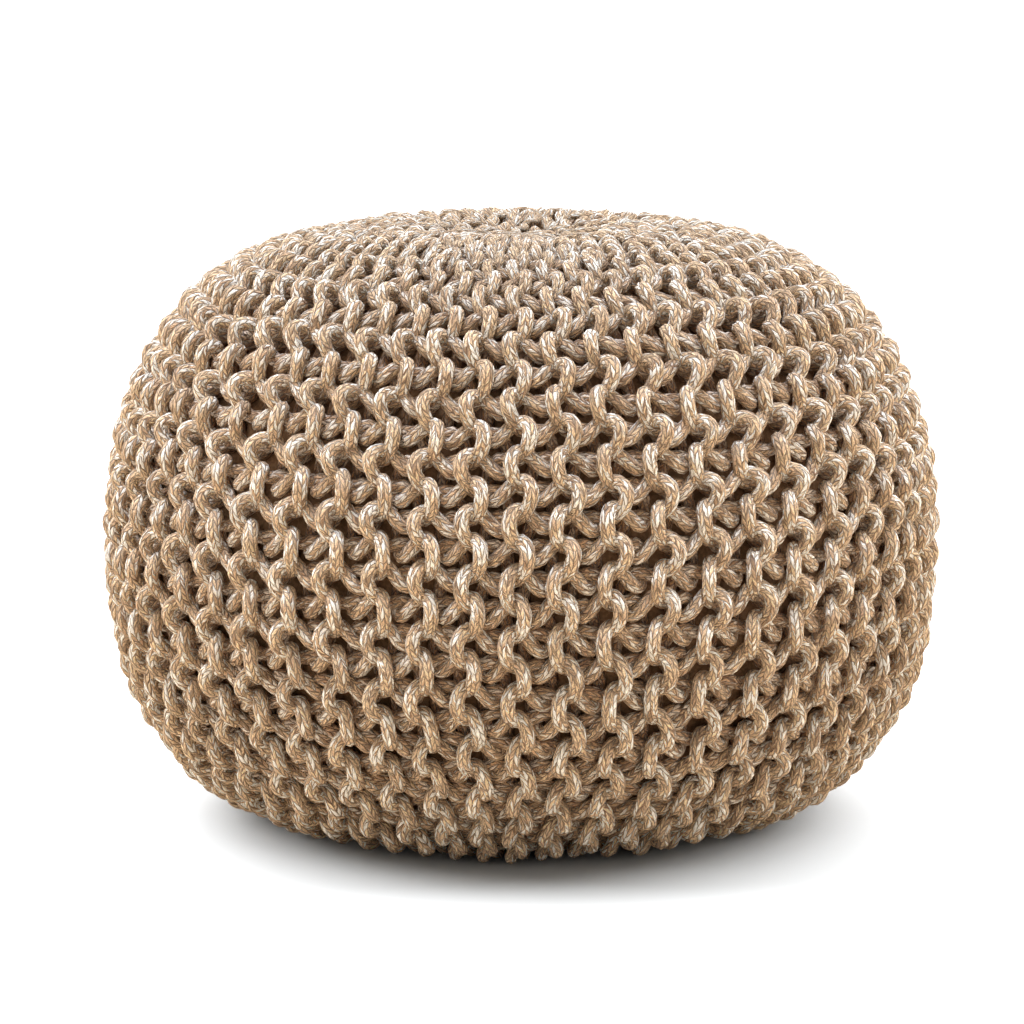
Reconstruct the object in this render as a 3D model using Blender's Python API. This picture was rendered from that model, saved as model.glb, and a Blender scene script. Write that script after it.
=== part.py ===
"""Knitted pouf: a round, firmly filled floor cushion in a thick cord cover.

The cover is a tube of garter stitch whose rows run from the top to the base, so
its ridges stand up like the ribs of a melon. Its upper and lower ends are drawn
together. Cover and filling are one stuffed solid here: the outline is the
height of the ridges' crests, and every ridge is raised with the sideways wave
of its stitches. Units are metres, +Z is up, and the origin is the middle of the
flat face that rests on the floor.
"""

import math

import bmesh
import bpy
import numpy as np

# Outline over the crests of the ridges
POUF_RADIUS = 0.254          # at the widest level
WIDEST_LEVEL = 0.153         # height of the widest level above the floor
CROWN_HEIGHT = 0.208         # from the widest level up to the undimpled top
BELLY_DEPTH = 0.162          # below the widest level, before the floor flattens it
CROWN_ROUNDNESS = (3.5, 2.34)    # exponents of the upper outline, across and up
BELLY_ROUNDNESS = (4.9, 1.81)    # exponents of the lower outline, across and down

# Drawn-in top
DIMPLE_DEPTH = 0.011
DIMPLE_WIDTH = 0.080
GATHER_RADIUS = 0.012        # where the cover's end closes

# Garter stitch
RIDGE_COUNT = 54
STITCH_PITCH = 0.0333        # one stitch along a ridge
RIDGE_HEIGHT = 0.009         # crest above furrow at the widest level
WAVE_SHIFT = 0.0045          # sideways swing of a ridge's crest, to either side

OUTLINE_SAMPLES = 600
FLOOR_TOLERANCE = 0.0001

KNIT_COLOUR = (0.52, 0.36, 0.21, 1.0)
KNIT_ROUGHNESS = 0.95


def clear_scene():
    """Remove every object that a new file starts with."""
    for item in list(bpy.data.objects):
        bpy.data.objects.remove(item, do_unlink=True)


def quarter_outline(angles, height, roundness):
    """Radius and rise of a superellipse quarter, from the widest level to the axis."""
    across, along = roundness
    radius = POUF_RADIUS * np.cos(angles) ** (2.0 / across)
    rise = height * np.sin(angles) ** (2.0 / along)
    return radius, rise


def crest_outline():
    """Radius and height of the crests, from the drawn-in top down to the floor."""
    angles = np.linspace(0.0, 0.5 * math.pi, OUTLINE_SAMPLES)
    crown_radius, crown_rise = quarter_outline(angles, CROWN_HEIGHT, CROWN_ROUNDNESS)
    belly_radius, belly_drop = quarter_outline(angles, BELLY_DEPTH, BELLY_ROUNDNESS)
    radius = np.concatenate([crown_radius[::-1], belly_radius[1:]])
    height = WIDEST_LEVEL + np.concatenate([crown_rise[::-1], -belly_drop[1:]])
    height -= DIMPLE_DEPTH * np.exp(-(radius / DIMPLE_WIDTH) ** 2) * (height > WIDEST_LEVEL)
    above_floor = height > 0.0
    floor_radius = np.interp(0.0, -height[OUTLINE_SAMPLES:], radius[OUTLINE_SAMPLES:])
    radius = np.append(radius[above_floor], floor_radius)
    height = np.append(height[above_floor], 0.0)
    open_part = (radius > GATHER_RADIUS) | (height < WIDEST_LEVEL)
    return radius[open_part], height[open_part]


def crest_rings():
    """Points of the crest outline half a stitch apart, with their outward directions."""
    radius, height = crest_outline()
    steps = np.hypot(np.diff(radius), np.diff(height))
    travel = np.concatenate([[0.0], np.cumsum(steps)])
    ring_count = round(travel[-1] / (0.5 * STITCH_PITCH)) + 1
    stops = np.linspace(0.0, travel[-1], ring_count)
    ring_radius = np.interp(stops, travel, radius)
    ring_height = np.interp(stops, travel, height)
    slope_radius = np.interp(stops, travel, np.gradient(radius, travel))
    slope_height = np.interp(stops, travel, np.gradient(height, travel))
    length = np.hypot(slope_radius, slope_height)
    return list(zip(ring_radius, ring_height, -slope_height / length, slope_radius / length))


def ridged_point(ring_index, column, ring):
    """Place of one vertex: even columns are crests, odd columns are furrows."""
    radius, height, outward, upward = ring
    closeness = min(1.0, radius / POUF_RADIUS)
    is_furrow = column % 2 == 1
    sink = RIDGE_HEIGHT * closeness if is_furrow else 0.0
    wave = WAVE_SHIFT * closeness * (1.0 if ring_index % 2 else -1.0)
    swing = 0.0 if is_furrow else wave
    angle = math.pi * column / RIDGE_COUNT + swing / radius
    around = radius - sink * outward
    level = height - sink * upward if height > FLOOR_TOLERANCE else 0.0
    return around * math.cos(angle), around * math.sin(angle), level


def knitted_cover_mesh():
    """Sphere of rings and columns, moved to the ridged outline, flat at both ends."""
    rings = crest_rings()
    columns = 2 * RIDGE_COUNT
    shape = bmesh.new()
    bmesh.ops.create_uvsphere(shape, u_segments=columns, v_segments=len(rings) + 1, radius=1.0)
    poles = [vertex for vertex in shape.verts if math.hypot(vertex.co.x, vertex.co.y) < 1e-4]
    ring_angle = math.pi / (len(rings) + 1)
    for vertex in shape.verts:
        if vertex in poles:
            continue
        ring_index = round(math.acos(vertex.co.z) / ring_angle) - 1
        column = round(math.atan2(vertex.co.y, vertex.co.x) * RIDGE_COUNT / math.pi) % columns
        vertex.co = ridged_point(ring_index, column, rings[ring_index])
    bmesh.ops.dissolve_verts(shape, verts=poles)
    sides = [face for face in shape.faces if len(face.verts) == 4]
    bmesh.ops.triangulate(shape, faces=sides, quad_method="SHORT_EDGE")
    bmesh.ops.recalc_face_normals(shape, faces=shape.faces[:])
    mesh = bpy.data.meshes.new("knitted_pouf")
    shape.to_mesh(mesh)
    shape.free()
    mesh.shade_smooth()
    return mesh


def knit_material():
    """Matt undyed tan cord."""
    material = bpy.data.materials.new("knit")
    material.use_nodes = True
    surface = material.node_tree.nodes["Principled BSDF"]
    surface.inputs["Base Color"].default_value = KNIT_COLOUR
    surface.inputs["Roughness"].default_value = KNIT_ROUGHNESS
    surface.inputs["Metallic"].default_value = 0.0
    return material


def build_pouf():
    """Put the one filled piece into a collection of its own."""
    clear_scene()
    collection = bpy.data.collections.new("pouf")
    bpy.context.scene.collection.children.link(collection)
    mesh = knitted_cover_mesh()
    mesh.materials.append(knit_material())
    collection.objects.link(bpy.data.objects.new("knitted_pouf", mesh))


build_pouf()
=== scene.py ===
"""Looks of a round knitted pouf: cords, stitches, casing, light and camera.

The cover is real garter stitch. Each ridge is one closed loop of thick braided
cord: a row of stitches that runs from the drawn-in top to the underside, and a
second row that comes back beside it. The two rows interlock at the front, where
their arcs make the wavy ridge, and each one interlocks with the next ridge at
the back. Where the pouf narrows, some ridges stop short, as in a real cover.

Lengths are metres. "Along" is the distance down the pouf's outline from the top,
"across" is the distance round the pouf, and "outward" is away from the casing.
"""

import logging
import math
from collections.abc import Iterable
from dataclasses import dataclass, field
from enum import Enum

import bmesh
import bpy
import numpy as np
from bpy.types import Collection, Material, Node, NodeSocket, NodeTree, Object
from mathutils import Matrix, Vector


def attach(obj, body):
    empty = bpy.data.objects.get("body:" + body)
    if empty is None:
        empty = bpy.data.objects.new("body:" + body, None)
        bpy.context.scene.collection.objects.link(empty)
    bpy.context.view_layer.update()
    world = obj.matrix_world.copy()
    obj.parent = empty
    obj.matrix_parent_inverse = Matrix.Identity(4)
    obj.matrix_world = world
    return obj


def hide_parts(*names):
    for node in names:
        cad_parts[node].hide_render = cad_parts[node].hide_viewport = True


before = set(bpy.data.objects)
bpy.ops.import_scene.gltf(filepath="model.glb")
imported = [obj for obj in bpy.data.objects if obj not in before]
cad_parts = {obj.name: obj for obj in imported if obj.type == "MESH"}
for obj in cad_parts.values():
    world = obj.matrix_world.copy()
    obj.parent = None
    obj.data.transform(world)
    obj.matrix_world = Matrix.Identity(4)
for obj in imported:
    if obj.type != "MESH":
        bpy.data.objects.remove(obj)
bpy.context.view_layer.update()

LOG = logging.getLogger("pouf")
SOLID_NODE = "knitted_pouf"
BODY = "root"
MILLIMETRE = 0.001

Span = tuple[float, float]
Triple = tuple[float, float, float]
Colour = tuple[float, float, float, float]
Array = np.ndarray
Placed = tuple[Array, Array, Array]
WHITE: Colour = (1.0, 1.0, 1.0, 1.0)


class Row(Enum):
    """The two rows of stitches that make up one ridge."""

    GOING = "down the pouf, its front arcs bulging one way round it"
    COMING = "back up the pouf, its front arcs bulging the other way"


class Slot(Enum):
    """Material slots of the part."""

    KNIT = "knit"
    CASING = "casing"


@dataclass
class Outline:
    """Outline over the crests of the ridges, as a curve down from the top.

    Both ends lie on the pouf's axis: the drawn-in top and the middle of the
    flat underside.
    """

    widest_radius: float = 0.254
    widest_level: float = 0.153
    crown_height: float = 0.208
    belly_depth: float = 0.162
    crown_roundness: Span = (3.5, 2.34)
    belly_roundness: Span = (4.9, 1.81)
    dimple_depth: float = 0.011
    dimple_width: float = 0.080
    navel_depth: float = 0.006
    navel_width: float = 0.040
    samples: int = 1500
    smoothing: float = 0.006
    radius: Array = field(init=False)
    height: Array = field(init=False)
    travel: Array = field(init=False)
    normal_out: Array = field(init=False)
    normal_up: Array = field(init=False)

    def __post_init__(self) -> None:
        """Work out the curve, its length and its outward directions."""
        angles = np.linspace(0.0, 0.5 * math.pi, self.samples)
        crown_radius, rise = self.quarter(angles, self.crown_height, self.crown_roundness)
        belly_radius, drop = self.quarter(angles, self.belly_depth, self.belly_roundness)
        dimple = self.dimple_depth * np.exp(-(crown_radius / self.dimple_width) ** 2)
        crown_level = self.widest_level + rise - dimple
        belly_level = self.widest_level - drop
        navel = self.navel_depth * np.exp(-(belly_radius / self.navel_width) ** 2)
        belly_level = np.where(belly_level > 0.0, belly_level, navel)
        radius = np.concatenate([crown_radius[::-1], belly_radius[1:]])
        height = np.concatenate([crown_level[::-1], belly_level[1:]])
        steps = np.hypot(np.diff(radius), np.diff(height))
        travel = np.concatenate([[0.0], np.cumsum(steps)])
        self.travel = np.linspace(0.0, travel[-1], self.samples)
        self.radius = np.interp(self.travel, travel, radius)
        self.height = np.interp(self.travel, travel, height)
        self.set_normals()

    def quarter(self, angles: Array, height: float, roundness: Span) -> tuple[Array, Array]:
        """Superellipse quarter from the widest level to the axis.

        Args:
            angles: Parameter of each point, 0 at the widest level.
            height: Distance from the widest level to the quarter's end.
            roundness: Exponents across and along.

        Returns:
            The radius of each point and its distance from the widest level.
        """
        across, along = roundness
        radius = self.widest_radius * np.cos(angles) ** (2.0 / across)
        return radius, height * np.sin(angles) ** (2.0 / along)

    def set_normals(self) -> None:
        """Outward directions of the curve, blended over a short stretch."""
        slope_radius = np.gradient(self.radius, self.travel)
        slope_height = np.gradient(self.height, self.travel)
        reach = max(1, int(self.smoothing / self.travel[1]))
        kernel = np.ones(2 * reach + 1) / (2 * reach + 1)
        out = np.convolve(np.pad(-slope_height, reach, mode="edge"), kernel, mode="valid")
        upward = np.convolve(np.pad(slope_radius, reach, mode="edge"), kernel, mode="valid")
        length = np.hypot(out, upward)
        self.normal_out = out / length
        self.normal_up = upward / length

    def at(self, along: Array) -> tuple[Array, Array, Array, Array]:
        """Look up points of the curve.

        Args:
            along: Distances down the curve from the top.

        Returns:
            Radius, height, and the outward direction's two parts.
        """
        table = (self.radius, self.height, self.normal_out, self.normal_up)
        return tuple(np.interp(along, self.travel, values) for values in table)


@dataclass
class StitchForm:
    """Centreline of the cord in garter stitch, one stitch after another.

    A row is a closed formula of its phase: whole numbers are the middles of its
    front arcs, and halves are the middles of its back arcs.
    """

    pitch_levels: tuple[float, ...] = (
        0.02, 0.11, 0.16, 0.22, 0.31, 0.36, 0.46, 0.54, 0.60, 0.65, 0.72
    )
    pitches: tuple[float, ...] = (
        0.021, 0.026, 0.0370, 0.0384, 0.0361, 0.0355, 0.0353, 0.0360, 0.0360, 0.026, 0.024
    )
    full_pitch: float = 0.0350
    anchor_stitch: float = 0.2722
    first_level: float = -0.1
    last_level: float = 1.0
    table_size: int = 2000
    ridge_pitch: float = 0.0295
    bulge_levels: Span = (0.24, 0.36)
    front_bulges: Span = (0.0069, 0.0057)
    front_overlaps: Span = (0.0040, 0.0064)
    back_overlap: float = 0.0085
    back_bulge: float = 0.0080
    arc_peak: float = 0.0004
    depth: float = 0.0070
    depth_peak: float = 0.0035
    back_flatness: float = 0.75
    lift: float = 0.0018
    lean_above: float = 0.0100
    lean_below: float = 0.0050
    lean_change: Span = (0.38, 0.46)
    levels: Array = field(init=False)
    phases: Array = field(init=False)

    def __post_init__(self) -> None:
        """Add up the stitches down the pouf, whose pitch changes on the way."""
        self.levels = np.linspace(self.first_level, self.last_level, self.table_size)
        pitch = np.interp(self.levels, self.pitch_levels, self.pitches)
        counted = np.cumsum((self.levels[1] - self.levels[0]) / pitch)
        self.phases = counted - np.interp(self.anchor_stitch, self.levels, counted)

    def phase_at(self, along: float) -> float:
        """Number of stitches down to a place along the pouf."""
        return float(np.interp(along, self.levels, self.phases))

    def row(self, phase: Array, row: Row) -> Array:
        """Points of one row.

        Args:
            phase: Position along the row, in stitches.
            row: Which of the ridge's two rows it is.

        Returns:
            One point a line: along, across and outward.
        """
        turn = 2.0 * math.pi * phase
        ahead = 0.5 if row is Row.COMING else 0.0
        along = np.interp(phase + ahead, self.phases, self.levels)
        pitch = np.interp(along, self.pitch_levels, self.pitches)
        size = np.minimum(1.0, pitch / self.full_pitch)
        lean = size * np.interp(along, self.lean_change, (self.lean_above, self.lean_below))
        front_bulge = np.interp(along, self.bulge_levels, self.front_bulges)
        front_overlap = np.interp(along, self.bulge_levels, self.front_overlaps)
        forward = 0.5 * (1.0 + np.cos(turn))
        overlap = size * (self.back_overlap + (front_overlap - self.back_overlap) * forward)
        along = along + overlap * np.sin(2.0 * turn) + lean * (1.0 - forward)
        reach = front_bulge + 0.5 * self.ridge_pitch + self.back_bulge
        middle = front_bulge - 0.5 * reach
        across = middle + (0.5 * reach - self.arc_peak) * np.cos(turn)
        across = across + self.arc_peak * np.cos(3.0 * turn)
        outward = self.depth * np.cos(turn) + self.depth_peak * np.cos(3.0 * turn)
        outward = np.where(outward < 0.0, outward * self.back_flatness, outward)
        outward = outward - self.lift * np.sin(turn)
        if row is Row.COMING:
            across = -across
        return np.stack([along, across, outward], axis=1)

    @property
    def front(self) -> float:
        """Height of the front arcs' middles."""
        return self.depth + self.depth_peak

    @property
    def back(self) -> float:
        """Height of the back arcs' middles, below zero."""
        return -self.back_flatness * self.front


@dataclass
class RidgeLayout:
    """Where the ridges run, and where the short ones stop.

    The cover is knitted in equal wedges. In each wedge one ridge reaches the
    gathered ends, and the others stop one after another on the way there.
    """

    wedge_count: int = 9
    stop_order: tuple[int, ...] = (0, 4, 2, 5, 1, 3)
    crowded_pitch: float = 0.0145
    gather_radius: float = 0.0070
    fade: float = 0.012
    turn: float = -0.5 * math.pi - 0.0098
    crowding: float = 0.07
    crowding_lobes: int = 4
    crowding_middle: float = -0.5 * math.pi - 0.14
    table_size: int = 400
    largest_radius: float = 0.26
    radii: Array = field(init=False)
    bearings: Array = field(init=False)
    widths: Array = field(init=False)

    def __post_init__(self) -> None:
        """Share the full turn among the ridges that are there at each radius."""
        self.radii = np.linspace(0.0, self.largest_radius, self.table_size)
        stops = np.array([self.stop_radius(ridge) for ridge in range(self.count)])
        ramp = (self.radii[:, None] - stops[None, :] + self.fade) / (2.0 * self.fade)
        ramp = np.clip(ramp, 0.0, 1.0)
        share = ramp * ramp * (3.0 - 2.0 * ramp)
        share[:, stops <= self.gather_radius] = 1.0
        bearings = self.turn + 2.0 * math.pi * np.arange(self.count) / self.count
        lobes = np.cos(self.crowding_lobes * (bearings - self.crowding_middle))
        share = share * (1.0 - self.crowding * lobes)
        self.widths = 2.0 * math.pi * share / share.sum(axis=1, keepdims=True)
        edges = np.cumsum(self.widths, axis=1)
        middles = edges - 0.5 * self.widths
        self.bearings = middles - middles[:, :1] + self.turn

    @property
    def count(self) -> int:
        """Number of ridges round the pouf."""
        return self.wedge_count * len(self.stop_order)

    def stop_radius(self, ridge: int) -> float:
        """Radius at which a ridge stops, at the top and underneath alike."""
        level = self.stop_order[ridge % len(self.stop_order)]
        if level == 0:
            return self.gather_radius
        return self.crowded_pitch * self.wedge_count * (level + 0.5) / (2.0 * math.pi)

    def lookup(self, ridge: int, radius: Array) -> tuple[Array, Array]:
        """Bearing and angular width of a ridge at given radii."""
        bearing = np.interp(radius, self.radii, self.bearings[:, ridge])
        width = np.interp(radius, self.radii, self.widths[:, ridge])
        return bearing, width


@dataclass
class Unevenness:
    """Handwork: slow drifts over the cover, and small differences of each stitch.

    Both are given along, across and outward.
    """

    seed: int = 11
    wave_count: int = 9
    drifts: Triple = (0.0015, 0.0014, 0.0008)
    jitters: Triple = (0.0007, 0.0005, 0.0003)
    longest_wave: float = 0.30
    shortest_wave: float = 0.09
    most_lobes: int = 13
    random: np.random.Generator = field(init=False)
    waves: Array = field(init=False)

    def __post_init__(self) -> None:
        """Draw the slow waves once, so that neighbouring rows drift together."""
        self.random = np.random.default_rng(self.seed)
        shape = (3, self.wave_count)
        lobes = self.random.integers(-self.most_lobes, self.most_lobes + 1, shape)
        lengths = self.random.uniform(self.shortest_wave, self.longest_wave, shape)
        starts = self.random.uniform(0.0, 2.0 * math.pi, shape)
        self.waves = np.stack([lobes, 2.0 * math.pi / lengths, starts], axis=2)

    def drift(self, bearing: Array, along: Array) -> Array:
        """Slow offsets at given places.

        Args:
            bearing: Angles round the pouf.
            along: Distances down the outline.

        Returns:
            One offset a line: along, across and outward.
        """
        columns = []
        for size, waves in zip(self.drifts, self.waves):
            angle = bearing[:, None] * waves[:, 0] + along[:, None] * waves[:, 1] + waves[:, 2]
            columns.append(size * np.sin(angle).sum(axis=1) / math.sqrt(0.5 * self.wave_count))
        return np.stack(columns, axis=1)

    def stitch_offsets(self, phase: Array) -> Array:
        """Offsets that differ from one arc to the next along a row."""
        first = math.floor(phase.min())
        nodes = np.arange(2 * (math.ceil(phase.max()) - first) + 1)
        columns = []
        for size in self.jitters:
            values = self.random.normal(0.0, size, len(nodes))
            columns.append(np.interp(2.0 * (phase - first), nodes, values))
        return np.stack(columns, axis=1)


@dataclass(frozen=True)
class CordFinish:
    """Braided cotton cord in mixed tan, with cream flecks, and with painted shade in its grooves and
    at the back of each stitch.

    A stitch of the braid is in millimetres, and a mask is given by the values at
    which it is 0 and 1.
    """

    rose: Colour = (0.58, 0.385, 0.245, 1.0)
    straw: Colour = (0.82, 0.63, 0.41, 1.0)
    # Colour of the brown yarns, and of the painted shade in the grooves between strands and between
    # yarns.
    brown_yarn_and_groove_shade: Colour = (0.15, 0.072, 0.034, 1.0)
    cream: Colour = (0.95, 0.90, 0.82, 1.0)
    # Colour that the cord is darkened towards at the back of each stitch: painted shade.
    painted_deep_shade: Colour = (0.56, 0.41, 0.31, 1.0)
    roughness: float = 0.88
    sheen: float = 0.25
    stitch: float = 4.0
    columns: float = 5.0
    slant: float = 0.88
    yarns: float = 3.0
    relief: float = 0.0022
    shading: float = 0.70
    # Masks and strengths of the painted shade between yarns and between strands.
    thread_shade_mask: Span = (0.75, 0.15)
    thread_shade_strength: float = 0.35
    groove_shade_mask: Span = (0.97, 0.25)
    groove_shade_strength: float = 0.66
    # Frontness at which the painted shade is full, and at which it is gone.
    painted_shade_mask: Span = (0.0, 0.8)
    tone_mask: Span = (0.3, 0.7)
    tone_swing: float = 0.1
    brightness: float = 0.94
    grain: float = 0.0008
    grain_relief: float = 0.15
    specular: float = 0.25


@dataclass(frozen=True)
class CasingFinish:
    """Plain woven cotton of the filled bag, its colour darkened from beige to brown as painted shade
    for the gaps between the cords, its thread a share of the bag's map.
    """

    # Both tones are darker than the bag's beige: painted shade for the deep gaps where the bag shows.
    light: Colour = (0.34, 0.19, 0.10, 1.0)
    dark: Colour = (0.25, 0.135, 0.065, 1.0)
    roughness: float = 0.9
    thread: float = 0.0009
    weave_relief: float = 0.4
    tone_mask: Span = (0.35, 0.65)
    grain: float = 0.002
    relief: float = 0.0003
    relief_strength: float = 0.6


@dataclass(frozen=True)
class FloorFinish:
    """Plain matt floor that its lamps light to white, and the tint of what it throws back."""

    colour: Colour = (0.350, 0.362, 0.375, 1.0)
    bounce: Colour = (0.232, 0.186, 0.132, 1.0)
    roughness: float = 0.8


class NodeSheet:
    """Short calls to lay shader nodes in one tree."""

    def __init__(self, tree: NodeTree) -> None:
        """Keep the tree that the nodes go into."""
        self.tree = tree

    def put(self, socket: NodeSocket, value: object) -> None:
        """Link a socket to another one, or set its own value."""
        if isinstance(value, NodeSocket):
            self.tree.links.new(value, socket)
        else:
            socket.default_value = value

    def node(self, kind: str, inputs: dict | None = None, **settings: object) -> Node:
        """Add a node.

        Args:
            kind: Name of the node type, without its prefix.
            inputs: Values or links of its inputs, by name or number.
            **settings: Properties of the node itself.

        Returns:
            The new node.
        """
        made = self.tree.nodes.new("ShaderNode" + kind)
        for name, value in settings.items():
            setattr(made, name, value)
        for name, value in (inputs or {}).items():
            self.put(made.inputs[name], value)
        return made

    def math(self, operation: str, *values: object) -> NodeSocket:
        """Result of one math node."""
        return self.node("Math", dict(enumerate(values)), operation=operation).outputs[0]

    def times(self, first: object, second: object) -> NodeSocket:
        """Product of two values."""
        return self.math("MULTIPLY", first, second)

    def weigh(self, *terms: tuple[object, float]) -> NodeSocket:
        """Sum of values, each times its weight."""
        total = 0.0
        for value, weight in terms:
            total = self.math("MULTIPLY_ADD", value, weight, total)
        return total

    def vector(self, *parts: object) -> NodeSocket:
        """Vector made of up to three parts, the others zero."""
        return self.node("CombineXYZ", dict(enumerate(parts))).outputs[0]

    def ramp(self, value: object, low: float, high: float) -> NodeSocket:
        """Smooth step of a value from 0 at low to 1 at high."""
        inputs = {"Value": value, "From Min": low, "From Max": high}
        return self.node("MapRange", inputs, interpolation_type="SMOOTHSTEP").outputs[0]

    def arch(self, value: object) -> NodeSocket:
        """Round hump over every whole step of a value, 0 at its ends and 1 between."""
        part = self.math("FRACT", value)
        rest = self.math("SUBTRACT", 1.0, part)
        return self.math("SQRT", self.times(self.times(part, rest), 4.0))

    def mix(self, factor: object, first: object, second: object) -> NodeSocket:
        """Blend of two colours, whose sockets come after those for numbers and vectors."""
        inputs = {0: factor, 6: first, 7: second}
        return self.node("Mix", inputs, data_type="RGBA").outputs[2]

    def noise(self, vector: object, scale: float, detail: float = 1.0) -> NodeSocket:
        """Value of a noise texture."""
        inputs = {"Vector": vector, "Scale": scale, "Detail": detail}
        return self.node("TexNoise", inputs).outputs[0]


def start_group(
    name: str, inputs: dict[str, float], outputs: tuple[str, ...]
) -> tuple[NodeTree, NodeSheet, Node, Node]:
    """Make an empty shader group with number sockets.

    Args:
        name: Name of the group.
        inputs: Name and start value of each number that goes in.
        outputs: Names of the numbers that come out.

    Returns:
        The group, a sheet to lay its nodes, and its two end nodes.
    """
    group = bpy.data.node_groups.new(name, "ShaderNodeTree")
    for title, value in inputs.items():
        socket = group.interface.new_socket(name=title, in_out="INPUT", socket_type="NodeSocketFloat")
        socket.default_value = value
    for title in outputs:
        group.interface.new_socket(name=title, in_out="OUTPUT", socket_type="NodeSocketFloat")
    entry = group.nodes.new("NodeGroupInput")
    leave = group.nodes.new("NodeGroupOutput")
    return group, NodeSheet(group), entry, leave


@dataclass(frozen=True)
class BraidPattern:
    """Proportions of the braid, and how evenly its yarns are mixed.

    A lane is one column of stitches along the cord, and a leg is one half of the
    V of a stitch. Tags keep the chances of two legs, and of strand and yarn, apart.
    A mask is given by the values at which it is 0 and 1, and the weights stand in
    the order of strand, yarn and fibre.
    """

    lane_stagger: float = 0.5
    leg_tag: float = 0.31
    yarn_tag: float = 5.0
    waver: float = 0.8
    waver_along: float = 0.45
    waver_across: float = 1.7
    edge_mask: Span = (-0.06, 0.16)
    thread_relief: float = 0.40
    fibre_along: float = 2.0
    fibre_across: float = 0.8
    fibre_lane: float = 7.31
    patch_scale: float = 1.3
    streak_scale: float = 6.0
    fleck_weights: Triple = (0.75, 0.25, 0.40)
    fleck_mask: Span = (0.82, 0.89)
    shade_weights: Span = (0.45, 0.55)
    shade_mask: Span = (0.50, 0.88)
    hue_weights: Span = (0.6, 0.8)
    hue_mask: Span = (0.35, 1.05)
    tone_along: float = 0.03


def braid_group(pattern: BraidPattern) -> NodeTree:
    """Group that lays V-shaped braid stitches along a cord.

    Args:
        pattern: Proportions of the braid.

    Returns:
        A group from the place on the cord, in millimetres along and in turns
        round it, to three heights of the relief and four masks of the yarns' colours.
    """
    inputs = {
        "Along": 0.0, "Around": 0.0, "Stitch": CordFinish.stitch, "Columns": CordFinish.columns,
        "Slant": CordFinish.slant, "Yarns": CordFinish.yarns,
    }
    outputs = ("Strand", "Relief", "Thread", "Fleck", "Shade", "Hue", "Tone")
    group, sheet, entry, leave = start_group("cord_braid", inputs, outputs)
    put = entry.outputs
    lanes = sheet.times(put["Around"], put["Columns"])
    lane = sheet.math("FLOOR", lanes)
    offset = sheet.math("MULTIPLY_ADD", sheet.math("FRACT", lanes), 2.0, -1.0)
    side = sheet.math("ABSOLUTE", offset)
    leg = sheet.math("MULTIPLY_ADD", sheet.math("SIGN", offset), pattern.leg_tag, lane)
    phase = sheet.math("DIVIDE", put["Along"], put["Stitch"])
    phase = sheet.math("MULTIPLY_ADD", side, put["Slant"], phase)
    phase = sheet.math("MULTIPLY_ADD", lane, pattern.lane_stagger, phase)
    spot = sheet.vector(
        sheet.times(put["Along"], pattern.waver_along),
        sheet.times(lanes, pattern.waver_across),
    )
    phase = sheet.math("MULTIPLY_ADD", sheet.noise(spot, 1.0), pattern.waver, phase)
    yarn = sheet.times(phase, put["Yarns"])
    strand, thread = sheet.arch(phase), sheet.arch(yarn)
    lane_edge = sheet.times(side, sheet.math("SUBTRACT", 1.0, side))
    relief = sheet.times(strand, sheet.ramp(lane_edge, *pattern.edge_mask))
    chances = []
    for position, tag in ((phase, 0.0), (yarn, pattern.yarn_tag)):
        number = sheet.vector(sheet.math("FLOOR", position), leg, tag)
        chance = sheet.node("TexWhiteNoise", {"Vector": number}, noise_dimensions="3D")
        chances.append(sheet.node("SeparateXYZ", {0: chance.outputs["Color"]}).outputs)
    fleck, shade, hue = zip(*chances)
    fibre = sheet.vector(
        sheet.times(phase, pattern.fibre_along),
        sheet.times(offset, pattern.fibre_across),
        sheet.times(lane, pattern.fibre_lane),
    )
    patch = sheet.noise(fibre, pattern.patch_scale)
    streak = sheet.noise(fibre, pattern.streak_scale, 2.0)
    fleck = sheet.weigh(*zip((*fleck, patch), pattern.fleck_weights))
    shade = sheet.weigh(*zip(shade, pattern.shade_weights))
    hue = sheet.weigh(*zip((hue[1], streak), pattern.hue_weights))
    slow = sheet.vector(sheet.times(put["Along"], pattern.tone_along))
    results = {
        "Strand": relief,
        "Relief": sheet.math("MULTIPLY_ADD", thread, pattern.thread_relief, relief),
        "Thread": thread,
        "Fleck": sheet.ramp(fleck, *pattern.fleck_mask),
        "Shade": sheet.ramp(shade, *pattern.shade_mask),
        "Hue": sheet.ramp(hue, *pattern.hue_mask),
        "Tone": sheet.noise(slow, 1.0, 2.0),
    }
    for name, value in results.items():
        sheet.put(leave.inputs[name], value)
    return group


def fibre_group(contrast: Span, broadness: float, broad_share: float) -> NodeTree:
    """Group of fine cotton fibre, for every textile of the part.

    Args:
        contrast: Fine values that count as dark and as bright.
        broadness: Scale of the broad patches, as a share of the fine scale.
        broad_share: What the broad patches add to the brightness.

    Returns:
        A group from a grain size to a brightness and a height, both about one half.
    """
    inputs, outputs = {"Grain": MILLIMETRE}, ("Brightness", "Height")
    group, sheet, entry, leave = start_group("cotton_fibre", inputs, outputs)
    place = sheet.node("TexCoord").outputs["Object"]
    scale = sheet.math("DIVIDE", 1.0, entry.outputs["Grain"])
    fine = sheet.noise(place, scale, 2.0)
    broad = sheet.noise(place, sheet.times(scale, broadness), 2.0)
    grain = sheet.ramp(fine, *contrast)
    brightness = sheet.weigh((grain, 1.0 - broad_share), (broad, broad_share))
    sheet.put(leave.inputs["Brightness"], brightness)
    sheet.put(leave.inputs["Height"], fine)
    return group


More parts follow.
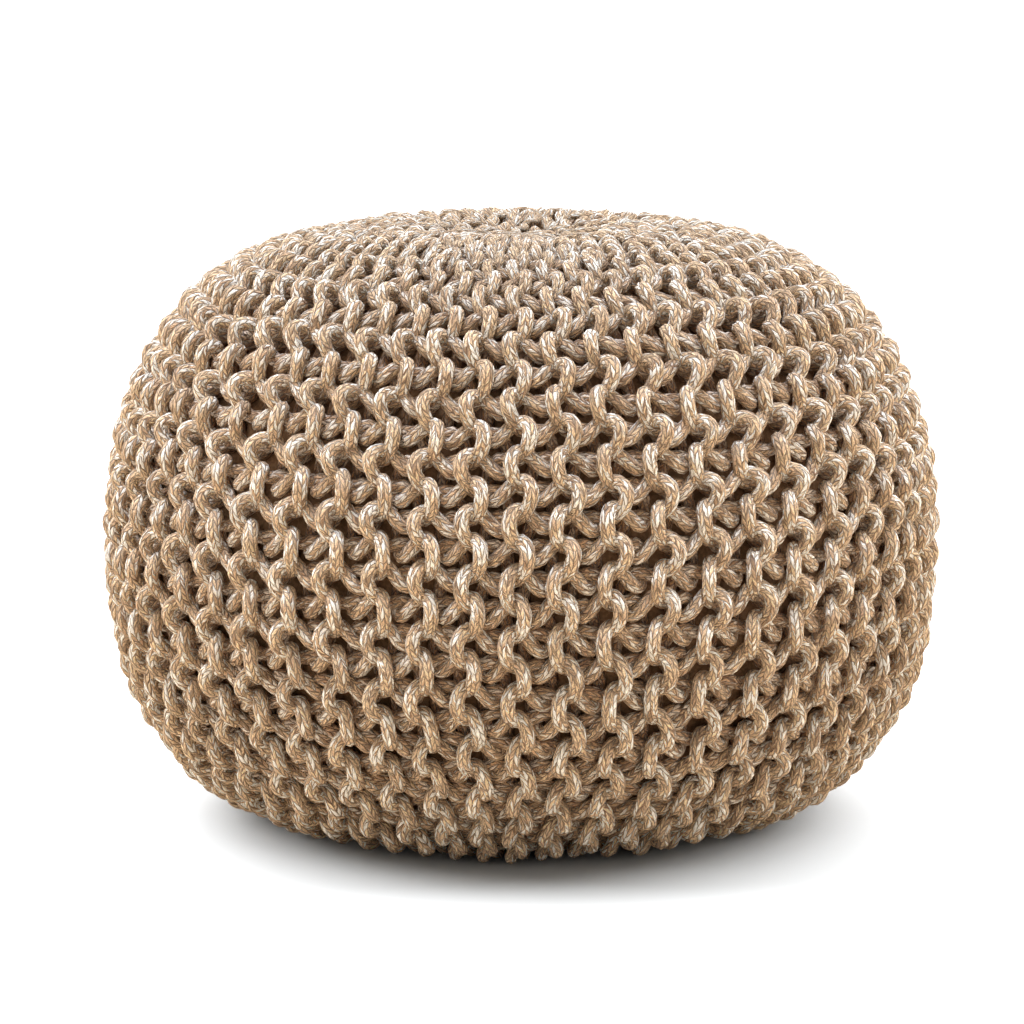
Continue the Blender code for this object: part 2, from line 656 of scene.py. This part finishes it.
class Finisher:
    """Makes the materials, with the groups that they share."""

    def __init__(self) -> None:
        """Build the shared groups once."""
        self.braid = braid_group(BraidPattern())
        self.fibre = fibre_group(contrast=(0.3, 0.7), broadness=0.04, broad_share=0.4)

    @staticmethod
    def new_material(name: str) -> tuple[Material, NodeSheet, Node]:
        """Empty node material with its main surface shader."""
        material = bpy.data.materials.new(name)
        material.use_nodes = True
        return material, NodeSheet(material.node_tree), material.node_tree.nodes["Principled BSDF"]

    def cord(self, finish: CordFinish) -> Material:
        """Material of the braided cord, read from its own map along and round it, with painted shade
        in its grooves and at the back of each stitch.
        """
        material, sheet, surface = self.new_material("braided_cord")
        place = sheet.node("UVMap", uv_map=CordMesh.MAP_NAME).outputs[0]
        parts = sheet.node("SeparateXYZ", {0: place}).outputs
        along = sheet.times(parts[0], CordMesh.MAP_UNIT / MILLIMETRE)
        braid = sheet.node("Group", {
            "Along": along, "Around": parts[1], "Stitch": finish.stitch,
            "Columns": finish.columns, "Slant": finish.slant, "Yarns": finish.yarns,
        }, node_tree=self.braid).outputs
        fibre = sheet.node("Group", {"Grain": finish.grain}, node_tree=self.fibre).outputs
        base = sheet.mix(braid["Hue"], finish.rose, finish.straw)
        base = sheet.mix(sheet.times(braid["Shade"], finish.shading), base, finish.brown_yarn_and_groove_shade)
        base = sheet.mix(braid["Fleck"], base, finish.cream)
        # Painted shade: the cord is darkened towards brown in the grooves between its yarns and
        # between its strands.
        line = sheet.times(sheet.ramp(braid["Thread"], *finish.thread_shade_mask), finish.thread_shade_strength)
        groove_shade = sheet.times(sheet.ramp(braid["Strand"], *finish.groove_shade_mask), finish.groove_shade_strength)
        base = sheet.mix(sheet.math("MAXIMUM", line, groove_shade), base, finish.brown_yarn_and_groove_shade)
        # Painted shade: the cord is darkened towards the deep colour the further back it lies in its
        # stitch, on the back arcs and in the gaps between the ridges.
        front = sheet.node("Attribute", attribute_name=CordMesh.FRONT_NAME).outputs["Fac"]
        painted_shade_and_tone = sheet.mix(sheet.ramp(front, *finish.painted_shade_mask), finish.painted_deep_shade, WHITE)
        lit = sheet.math("ADD", fibre["Brightness"], finish.brightness)
        tone = sheet.ramp(braid["Tone"], *finish.tone_mask)
        lit = sheet.math("MULTIPLY_ADD", tone, finish.tone_swing, lit)
        painted_shade_and_tone = sheet.node("VectorMath", {0: painted_shade_and_tone, "Scale": lit}, operation="SCALE").outputs[0]
        scaled = sheet.node("VectorMath", {0: base, 1: painted_shade_and_tone}, operation="MULTIPLY").outputs[0]
        relief = sheet.math("MULTIPLY_ADD", fibre["Height"], finish.grain_relief, braid["Relief"])
        bump = sheet.node("Bump", {"Height": relief, "Distance": finish.relief, "Strength": 1.0})
        sheet.put(surface.inputs["Base Color"], scaled)
        sheet.put(surface.inputs["Normal"], bump.outputs[0])
        surface.inputs["Roughness"].default_value = finish.roughness
        surface.inputs["Sheen Weight"].default_value = finish.sheen
        surface.inputs["Specular IOR Level"].default_value = finish.specular
        return material

    def casing(self, finish: CasingFinish) -> Material:
        """Material of the woven casing, its threads crossing in a fine grid."""
        material, sheet, surface = self.new_material("woven_casing")
        place = sheet.node("TexCoord").outputs["UV"]
        parts = sheet.node("SeparateXYZ", {0: place}).outputs
        threads = []
        for part in (parts[0], parts[1]):
            turn = sheet.times(part, 2.0 * math.pi / finish.thread)
            threads.append(sheet.math("SINE", turn))
        weave = sheet.times(threads[0], threads[1])
        fibre = sheet.node("Group", {"Grain": finish.grain}, node_tree=self.fibre).outputs
        height = sheet.math("MULTIPLY_ADD", weave, finish.weave_relief, fibre["Height"])
        tone = sheet.ramp(fibre["Brightness"], *finish.tone_mask)
        base = sheet.mix(tone, finish.dark, finish.light)
        bump = sheet.node("Bump", {
            "Height": height, "Distance": finish.relief, "Strength": finish.relief_strength,
        })
        sheet.put(surface.inputs["Base Color"], base)
        sheet.put(surface.inputs["Normal"], bump.outputs[0])
        surface.inputs["Roughness"].default_value = finish.roughness
        return material

    def floor(self, finish: FloorFinish) -> Material:
        """Material of the studio floor."""
        material, sheet, surface = self.new_material("studio_floor")
        seen = sheet.node("LightPath").outputs["Is Camera Ray"]
        sheet.put(surface.inputs["Base Color"], sheet.mix(seen, finish.bounce, finish.colour))
        surface.inputs["Roughness"].default_value = finish.roughness
        return material


@dataclass
class CordMesh:
    """Round cord along closed paths, with a map along it and one for the bake."""

    MAP_NAME = "Cord"
    BAKE_MAP_NAME = "OFBake"
    # Attribute by which the cord material paints shade at the back of each stitch.
    FRONT_NAME = "Frontness"
    MAP_UNIT = 0.1

    radius: float = 0.00415
    sides: int = 8
    strips_per_loop: int = 5
    strip_margin: float = 0.04
    twist_per_metre: float = 5.0
    lumpiness: float = 0.03
    seed: int = 4
    random: np.random.Generator = field(init=False)

    def __post_init__(self) -> None:
        """Start the draw of the cord's small lumps."""
        self.random = np.random.default_rng(self.seed)

    def rings(self, path: Array, outward: Array, radii: Array) -> Array:
        """Vertices round each point of a closed path.

        Args:
            path: Points of the centreline.
            outward: Direction away from the pouf at each point.
            radii: Cord radius at each point.

        Returns:
            One vertex a line, ring after ring.
        """
        tangent = np.roll(path, -1, axis=0) - np.roll(path, 1, axis=0)
        tangent /= np.linalg.norm(tangent, axis=1, keepdims=True)
        sideways = np.cross(tangent, outward)
        sideways /= np.linalg.norm(sideways, axis=1, keepdims=True)
        lift = np.cross(sideways, tangent)
        angle = 2.0 * math.pi * np.arange(self.sides) / self.sides
        around = (
            np.cos(angle)[None, :, None] * lift[:, None, :]
            + np.sin(angle)[None, :, None] * sideways[:, None, :]
        )
        lumps = self.random.normal(1.0, self.lumpiness, (len(path), self.sides, 1))
        return (path[:, None, :] + radii[:, None, None] * lumps * around).reshape(-1, 3)

    def faces(self, count: int, first: int) -> Array:
        """Four-cornered faces between the rings of a closed path."""
        ring = np.arange(count)[:, None]
        side = np.arange(self.sides)[None, :]
        following = (ring + 1) % count
        beside = (side + 1) % self.sides
        corners = (
            ring * self.sides + side,
            ring * self.sides + beside,
            following * self.sides + beside,
            following * self.sides + side,
        )
        return np.stack(np.broadcast_arrays(*corners), axis=2).reshape(-1, 4) + first

    def cord_map(self, lengths: Array) -> Array:
        """Map along and round the cord, for the faces of one closed path.

        Args:
            lengths: Distance along the cord at each ring, and back at the first.

        Returns:
            Two numbers for each face corner.
        """
        near, far = lengths[:-1, None], lengths[1:, None]
        side = np.arange(self.sides)[None, :] / self.sides
        beside = side + 1.0 / self.sides
        turn = self.twist_per_metre
        corners = ((near, side), (near, beside), (far, beside), (far, side))
        return self.corner_pairs(
            (length / self.MAP_UNIT, part + turn * length) for length, part in corners
        )

    def bake_map(self, count: int, loop: int, loop_count: int) -> Array:
        """Strips that fill a square without touching, for one closed path.

        Args:
            count: Number of rings, a multiple of the strips of a path.
            loop: Number of this path in its piece.
            loop_count: Number of paths in the piece.

        Returns:
            Two numbers for each face corner.
        """
        per_strip = count // self.strips_per_loop
        ring = np.arange(count)[:, None]
        strip = ring // per_strip + loop * self.strips_per_loop
        strip_count = loop_count * self.strips_per_loop
        start = (ring % per_strip) / per_strip
        end = start + 1.0 / per_strip
        room = 1.0 - 2.0 * self.strip_margin
        side = self.strip_margin + room * np.arange(self.sides)[None, :] / self.sides
        beside = side + room / self.sides
        corners = ((start, side), (start, beside), (end, beside), (end, side))
        return self.corner_pairs((part, (strip + across) / strip_count) for part, across in corners)

    @staticmethod
    def corner_pairs(corners: Iterable[tuple[Array, Array]]) -> Array:
        """Two numbers for each face corner, from those of a face's four corners in turn."""
        columns = [np.stack(np.broadcast_arrays(*pair), axis=2) for pair in corners]
        return np.stack(columns, axis=2).reshape(-1, 2)


@dataclass
class KnittedCover:
    """The whole knitted cover, as panels of a few ridges each."""

    outline: Outline
    stitch: StitchForm = field(default_factory=StitchForm)
    layout: RidgeLayout = field(default_factory=RidgeLayout)
    unevenness: Unevenness = field(default_factory=Unevenness)
    cord: CordMesh = field(default_factory=CordMesh)
    panel_count: int = 6
    tightening: float = 0.7
    loose_room: float = 0.75
    overreach: float = 0.3
    ring_budget: int = 58000
    fine_steps: int = 80
    turn_steps: int = 20
    least_room: float = 0.1
    fewest_per_strip: int = 4
    back_thrift: float = 0.6
    arc_thickening: float = 0.04
    thickness_wander: float = 0.03
    wander_rate: float = 97.0
    wander_step: float = 3.0

    def stitch_range(self, ridge: int) -> tuple[int, int]:
        """First and last stitch of a ridge, between the places where it stops."""
        stop = self.layout.stop_radius(ridge)
        inside = self.outline.travel[self.outline.radius >= stop]
        first = math.ceil(self.stitch.phase_at(inside[0]) - self.overreach)
        last = math.floor(self.stitch.phase_at(inside[-1]) + self.overreach)
        return first, last

    def ridge_line(self, ridge: int) -> Array:
        """Closed centreline of one ridge: down, round the end, up, and round the top.

        Args:
            ridge: Number of the ridge.

        Returns:
            One point a line: along, across and outward.
        """
        first, last = self.stitch_range(ridge)
        steps = self.fine_steps
        going = np.arange(first * steps, last * steps + 1) / steps
        coming = np.arange((last - 1) * steps, first * steps - 1, -1) / steps
        down = self.stitch.row(going, Row.GOING) + self.unevenness.stitch_offsets(going)
        up = self.stitch.row(coming, Row.COMING) + self.unevenness.stitch_offsets(coming)
        bottom, top = self.end_turn(down[-1], up[0]), self.end_turn(up[-1], down[0])
        return np.concatenate([down, bottom, up, top])

    def end_turn(self, start: Array, end: Array) -> Array:
        """Rounded turn from one row to the other, where both stop.

        Args:
            start: Last point of the row that ends.
            end: First point of the row that starts.

        Returns:
            Points between the two, beyond the row that reaches further.
        """
        outside = max(start[0], end[0]) if start[1] > end[1] else min(start[0], end[0])
        width = 0.5 * abs(start[1] - end[1])
        away = 1.0 if start[1] > end[1] else -1.0
        angle = np.linspace(0.0, math.pi, self.turn_steps)[1:-1]
        across = 0.5 * (start[1] + end[1]) + 0.5 * (start[1] - end[1]) * np.cos(angle)
        along = outside + away * width * np.sin(angle)
        share = angle / math.pi
        outward = start[2] + share * (end[2] - start[2])
        return np.stack([along, across, outward], axis=1)

    def place(self, ridge: int, line: Array) -> Placed:
        """Lay a ridge's line on the pouf.

        Args:
            ridge: Number of the ridge.
            line: Its points: along, across and outward.

        Returns:
            The points in space, the direction away from the pouf at each, and
            how thin the cord is drawn there, where 1 is its full thickness.
        """
        radius = self.outline.at(line[:, 0])[0]
        bearing, _ = self.layout.lookup(ridge, radius)
        line = line + self.unevenness.drift(bearing, line[:, 0])
        radius, height, out, upward = self.outline.at(line[:, 0])
        bearing, width = self.layout.lookup(ridge, radius)
        bearing = bearing + width * line[:, 1] / self.stitch.ridge_pitch
        room = width * radius / (self.stitch.ridge_pitch * self.loose_room)
        thinness = np.clip(room, self.least_room, 1.0) ** self.tightening
        sunk = thinness * (self.stitch.front + self.cord.radius - line[:, 2])
        reach = radius - sunk * out
        level = height - sunk * upward
        points = np.stack([reach * np.cos(bearing), reach * np.sin(bearing), level], axis=1)
        outward = np.stack([out * np.cos(bearing), out * np.sin(bearing), upward], axis=1)
        return points, outward, thinness

    def thin_out(self, placed: Placed, heights: Array, step: float) -> tuple[Array, ...]:
        """Keep as many points as the cord's mesh needs, fewer at the back.

        Args:
            placed: Fine points of a closed line, their directions and thinness.
            heights: Height of each in the stitch.
            step: Wanted spacing at the front.

        Returns:
            The kept points, their directions, thinness and heights.
        """
        points, outward, thinness = placed
        cost = np.concatenate([[0.0], np.cumsum(self.ring_cost(placed, heights))])
        strips = self.cord.strips_per_loop
        count = strips * max(self.fewest_per_strip, round(cost[-1] / (step * strips)))
        stops = np.arange(count) * cost[-1] / count
        columns = np.column_stack([points, outward, thinness, heights])
        columns = np.vstack([columns, columns[:1]])
        kept = np.column_stack([np.interp(stops, cost, column) for column in columns.T])
        direction = kept[:, 3:6] / np.linalg.norm(kept[:, 3:6], axis=1, keepdims=True)
        return kept[:, :3], direction, kept[:, 6], kept[:, 7]

    def build(self, material: Material) -> list[Object]:
        """Make the panels.

        Args:
            material: Finish of the cord.

        Returns:
            One object for each panel.
        """
        lines = [self.ridge_line(ridge) for ridge in range(self.layout.count)]
        placed = [self.place(ridge, line) for ridge, line in enumerate(lines)]
        step = self.front_spacing(lines, placed)
        per_panel = self.layout.count // self.panel_count
        panels = []
        total = 0.0
        for panel in range(self.panel_count):
            ridges = range(panel * per_panel, (panel + 1) * per_panel)
            loops = [self.thin_out(placed[ridge], lines[ridge][:, 2], step) for ridge in ridges]
            piece, length = self.panel_object(f"cover_panel_{panel + 1}", loops)
            piece.data.materials.append(material)
            panels.append(piece)
            total += length
        LOG.info("cover: %d ridges, %.0f m of cord", self.layout.count, total)
        return panels

    def ring_cost(self, placed: Placed, heights: Array) -> Array:
        """Length of each step of a closed line, counted short at the back and long if thin."""
        points, _, thinness = placed
        lengths = np.linalg.norm(np.roll(points, -1, axis=0) - points, axis=1)
        return lengths * np.where(heights > 0.0, 1.0, self.back_thrift) / np.sqrt(thinness)

    def front_spacing(self, lines: list, placed: list) -> float:
        """Ring spacing at the front that just spends the ring budget."""
        costs = [self.ring_cost(spot, line[:, 2]).sum() for line, spot in zip(lines, placed)]
        return float(sum(costs)) / self.ring_budget

    def panel_object(self, name: str, loops: list) -> tuple[Object, float]:
        """One panel's mesh from the closed lines of its ridges.

        Args:
            name: Name of the piece.
            loops: Points, directions, thinness and heights of each line.

        Returns:
            The piece, and the length of cord in it.
        """
        vertices, faces, cord_maps, bake_maps, fronts = [], [], [], [], []
        first = 0
        total = 0.0
        for number, (points, outward, thinness, heights) in enumerate(loops):
            count = len(points)
            closed = np.vstack([points, points[:1]])
            steps = np.linalg.norm(np.diff(closed, axis=0), axis=1)
            lengths = np.concatenate([[0.0], np.cumsum(steps)])
            swings = lengths[:-1] * self.wander_rate + self.wander_step * number
            wander = self.thickness_wander * np.sin(swings)
            swell = self.arc_thickening * heights / self.stitch.front
            radii = self.cord.radius * thinness * (1.0 + swell + wander)
            vertices.append(self.cord.rings(points, outward, radii))
            faces.append(self.cord.faces(count, first))
            cord_maps.append(self.cord.cord_map(lengths))
            bake_maps.append(self.cord.bake_map(count, number, len(loops)))
            # Frontness: 0 on the back arcs and 1 on the front ones, the mask of the cord's painted
            # shade.
            rise = (heights - self.stitch.back) / (self.stitch.front - self.stitch.back)
            fronts.append(np.repeat(rise, self.cord.sides))
            first += count * self.cord.sides
            total += float(lengths[-1])
        corners = np.concatenate(vertices)
        corners[:, 2] = np.maximum(corners[:, 2], 0.0)
        maps = {
            CordMesh.BAKE_MAP_NAME: np.concatenate(bake_maps),
            CordMesh.MAP_NAME: np.concatenate(cord_maps),
        }
        piece = mesh_object(name, corners, np.concatenate(faces), maps)
        front = piece.data.attributes.new(CordMesh.FRONT_NAME, "FLOAT", "POINT")
        front.data.foreach_set("value", np.concatenate(fronts).astype(np.float32))
        return piece, total


def new_object(name: str, data: bpy.types.ID) -> Object:
    """Object that holds given data, linked into the scene."""
    made = bpy.data.objects.new(name, data)
    bpy.context.scene.collection.objects.link(made)
    return made


def mesh_object(name: str, vertices: Array, faces: Array, maps: dict[str, Array]) -> Object:
    """Smooth-shaded object of four-cornered faces.

    Args:
        name: Name of the object and its mesh.
        vertices: One vertex a line.
        faces: Four vertex numbers a line.
        maps: Two numbers for each face corner, by the name of the map.

    Returns:
        The object, in the scene.
    """
    mesh = bpy.data.meshes.new(name)
    mesh.vertices.add(len(vertices))
    mesh.vertices.foreach_set("co", vertices.astype(np.float32).ravel())
    mesh.loops.add(faces.size)
    mesh.loops.foreach_set("vertex_index", faces.astype(np.int32).ravel())
    mesh.polygons.add(len(faces))
    mesh.polygons.foreach_set("loop_start", np.arange(0, faces.size, 4, dtype=np.int32))
    for map_name, values in maps.items():
        layer = mesh.uv_layers.new(name=map_name)
        layer.uv.foreach_set("vector", values.astype(np.float32).ravel())
    mesh.update(calc_edges=True)
    mesh.validate()
    mesh.shade_smooth()
    return new_object(name, mesh)


@dataclass
class FilledBag:
    """The casing full of filling, which holds the cover out from inside."""

    outline: Outline
    clearance: float = 0.0255
    around: int = 96
    rings: int = 60
    pucker_count: int = 12
    pucker_share: float = 0.0048
    fill: float = 0.95

    def build(self, material: Material) -> Object:
        """Turn the outline, set in by the cover's thickness, round the axis.

        Args:
            material: Finish of the casing.

        Returns:
            The closed casing.
        """
        along = np.linspace(0.0, self.outline.travel[-1], self.rings)
        radius, height, out, upward = self.outline.at(along)
        reach = np.maximum(radius - self.clearance * out, 0.0)
        level = height - self.clearance * upward
        shape = bmesh.new()
        bmesh.ops.create_uvsphere(
            shape, u_segments=self.around, v_segments=self.rings - 1, radius=1.0, calc_uvs=True
        )
        for vertex in shape.verts:
            ring = (self.rings - 1) * math.acos(max(-1.0, min(1.0, vertex.co.z))) / math.pi
            bearing = math.atan2(vertex.co.y, vertex.co.x)
            pucker = 1.0 - self.pucker_share * math.cos(self.pucker_count * bearing)
            spot = float(np.interp(ring, range(self.rings), reach)) * pucker
            vertex.co = (
                spot * math.cos(bearing),
                spot * math.sin(bearing),
                float(np.interp(ring, range(self.rings), level)),
            )
        mesh = bpy.data.meshes.new("filled_bag")
        shape.to_mesh(mesh)
        shape.free()
        mesh.shade_smooth()
        mesh.materials.append(material)
        return new_object("filled_bag", mesh)


class FloorShare(Enum):
    """Whether a lamp shines on the floor alone, or on all but the floor."""

    ALONE = "INCLUDE"
    SPARED = "EXCLUDE"

    def group(self, ground: Object) -> Collection:
        """Group of things for such a lamp, with the floor taken in or kept out."""
        group = bpy.data.collections.new(f"floor_{self.name.lower()}")
        group.objects.link(ground)
        group.collection_objects[0].light_linking.link_state = self.value
        return group


@dataclass(frozen=True)
class Lamp:
    """A far, soft lamp."""

    name: str
    source: Triple
    strength: float
    spread: float
    colour: Triple = WHITE[:3]
    distance: float = 2.0

    def hang(self, receivers: Collection) -> None:
        """Hang the lamp so that it shines on its receivers only."""
        lamp = bpy.data.lights.new(self.name, "SUN")
        lamp.energy = self.strength
        lamp.angle = self.spread
        lamp.color = self.colour
        holder = new_object(self.name, lamp)
        holder.location = Vector(self.source) * self.distance
        holder.rotation_euler = Vector(self.source).to_track_quat("Z", "Y").to_euler()
        holder.light_linking.receiver_collection = receivers


@dataclass
class Studio:
    """Floor, white surroundings, soft lights and the camera.

    Each glow of the surroundings is given by how far they must lie to its side
    for it to start and to be full, and by its strength.
    """

    floor_size: float = 30.0
    floor_drop: float = 0.0004
    backdrop_strength: float = 1.05
    low_strength: float = 0.30
    overhead_glow: Triple = (0.0, 0.8, 0.10)
    side_glow: Triple = (0.6, 0.95, 2.80)
    rear_glow: Triple = (0.0, 0.6, 1.70)
    front_glow: Triple = (0.6, 1.0, 0.50)
    key: Lamp = Lamp("key_light", (-0.10, -0.05, 1.0), 3.3, math.radians(16.0), (0.91, 0.98, 1.12))
    floor_lamps: tuple[Lamp, ...] = (
        Lamp("floor_light_left", (-0.85, 0.42, 1.0), 13.0, math.radians(64.0)),
        Lamp("floor_light_right", (0.85, 0.42, 1.0), 9.5, math.radians(64.0)),
    )
    dome_colour: Colour = (1.0, 0.96, 0.89, 1.0)
    elevation: float = math.radians(9.5)
    distance: float = 2.8
    aim: Span = (-0.0056, 0.1794)
    lens: float = 161.8
    sensor: float = 36.0

    def build(self, finish: FloorFinish, finisher: Finisher) -> None:
        """Make everything that the pouf is shown with.

        Args:
            finish: Finish of the floor.
            finisher: Maker of materials.
        """
        ground = self.floor(finisher.floor(finish))
        self.surroundings()
        self.key.hang(FloorShare.SPARED.group(ground))
        floor_alone = FloorShare.ALONE.group(ground)
        for lamp in self.floor_lamps:
            lamp.hang(floor_alone)
        self.camera()
        settings = bpy.context.scene.view_settings
        settings.view_transform = "Standard"
        settings.look = "None"

    def floor(self, material: Material) -> Object:
        """Lay the floor under the pouf, and return it."""
        bpy.ops.mesh.primitive_plane_add(size=self.floor_size)
        ground = bpy.context.object
        ground.location.z = -self.floor_drop
        ground.name = "studio_floor"
        ground.data.materials.append(material)
        return ground

    def surroundings(self) -> None:
        """White backdrop, and soft light that comes mostly from both sides and behind."""
        world = bpy.data.worlds.new("studio")
        world.use_nodes = True
        sheet = NodeSheet(world.node_tree)
        direction = sheet.node("TexCoord").outputs["Generated"]
        parts = sheet.node("SeparateXYZ", {0: direction}).outputs
        dome = self.low_strength
        for toward, (start, full, strength) in (
            (parts[2], self.overhead_glow),
            (sheet.math("ABSOLUTE", parts[0]), self.side_glow),
            (parts[1], self.rear_glow),
            (sheet.times(parts[1], -1.0), self.front_glow),
        ):
            dome = sheet.math("MULTIPLY_ADD", sheet.ramp(toward, start, full), strength, dome)
        seen = sheet.node("LightPath").outputs["Is Camera Ray"]
        backdrop = sheet.times(seen, self.backdrop_strength)
        strength = sheet.math("MULTIPLY_ADD", sheet.math("SUBTRACT", 1.0, seen), dome, backdrop)
        background = world.node_tree.nodes["Background"]
        sheet.put(background.inputs["Color"], sheet.mix(seen, self.dome_colour, WHITE))
        sheet.put(background.inputs["Strength"], strength)
        bpy.context.scene.world = world

    def camera(self) -> None:
        """Stand the camera in front, a little above, as in the photograph."""
        lens = bpy.data.cameras.new("camera")
        lens.lens = self.lens
        lens.sensor_width = self.sensor
        holder = new_object("camera", lens)
        side, level = self.aim
        back = self.distance * math.cos(self.elevation)
        rise = self.distance * math.sin(self.elevation)
        holder.location = (side, -back, level + rise)
        holder.rotation_euler = (0.5 * math.pi - self.elevation, 0.0, 0.0)
        bpy.context.scene.camera = holder


def hand_over(piece: Object) -> None:
    """Fix a piece to the part's body, and let it stand for the part's solid."""
    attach(piece, BODY)
    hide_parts(SOLID_NODE)
    LOG.info("%s: %d faces", piece.name, len(piece.data.polygons))


def main() -> None:
    """Build the pouf and its studio."""
    logging.basicConfig(level=logging.INFO, format="%(name)s: %(message)s")
    finisher = Finisher()
    outline = Outline()
    Studio().build(FloorFinish(), finisher)
    for panel in KnittedCover(outline).build(finisher.cord(CordFinish())):
        hand_over(panel)
    bag = FilledBag(outline)
    casing = bag.build(finisher.casing(CasingFinish()))
    hand_over(casing)


if __name__ == "__main__":
    main()
